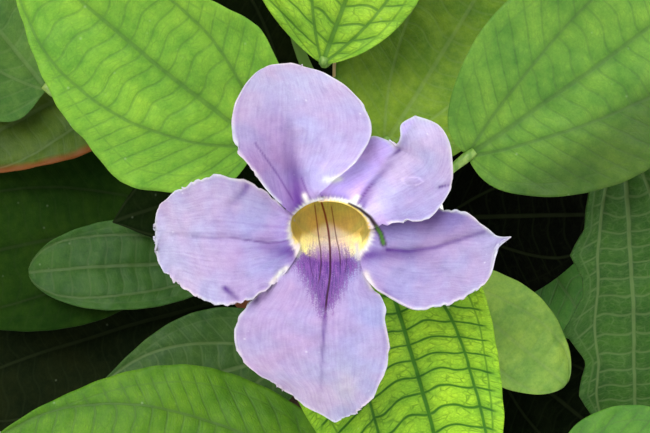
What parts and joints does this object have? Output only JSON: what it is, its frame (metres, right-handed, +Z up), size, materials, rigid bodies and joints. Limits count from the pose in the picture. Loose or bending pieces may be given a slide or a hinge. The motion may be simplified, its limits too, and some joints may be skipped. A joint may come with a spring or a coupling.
{
  "type": "potted bengal clock vine",
  "caption": "Twining climber in a terracotta pot, its leafy shoots wound up canes tied at the top, with an open pale lilac trumpet flower.",
  "frame": {"origin": "centre of the pot's flat underside", "axes": "+Z up, the open flower looks towards -Y"},
  "size_m": [0.2958, 0.2622, 0.4764],
  "materials": {
    "terracotta": "matt, unglazed",
    "potting_soil": "matt, crumbly",
    "bamboo": "satin",
    "twine": "matt, fibrous",
    "foliage": "satin, veined",
    "petal": "satin, finely veined",
    "calyx_green": "satin",
    "stamen_cream": "matt",
    "pistil_white": "satin"
  },
  "bodies": {
    "root": {"pot": "terracotta", "soil": "potting_soil", "cane_1": "bamboo", "cane_2": "bamboo", "cane_3": "bamboo", "cane_4": "bamboo", "tie": "twine", "shoot_1": "foliage", "shoot_2": "foliage", "shoot_3": "foliage", "shoot_4": "foliage", "corolla": "petal", "flower_stalk": "calyx_green", "stamens": "stamen_cream", "pistil": "pistil_white"}
  },
  "joints": []
}
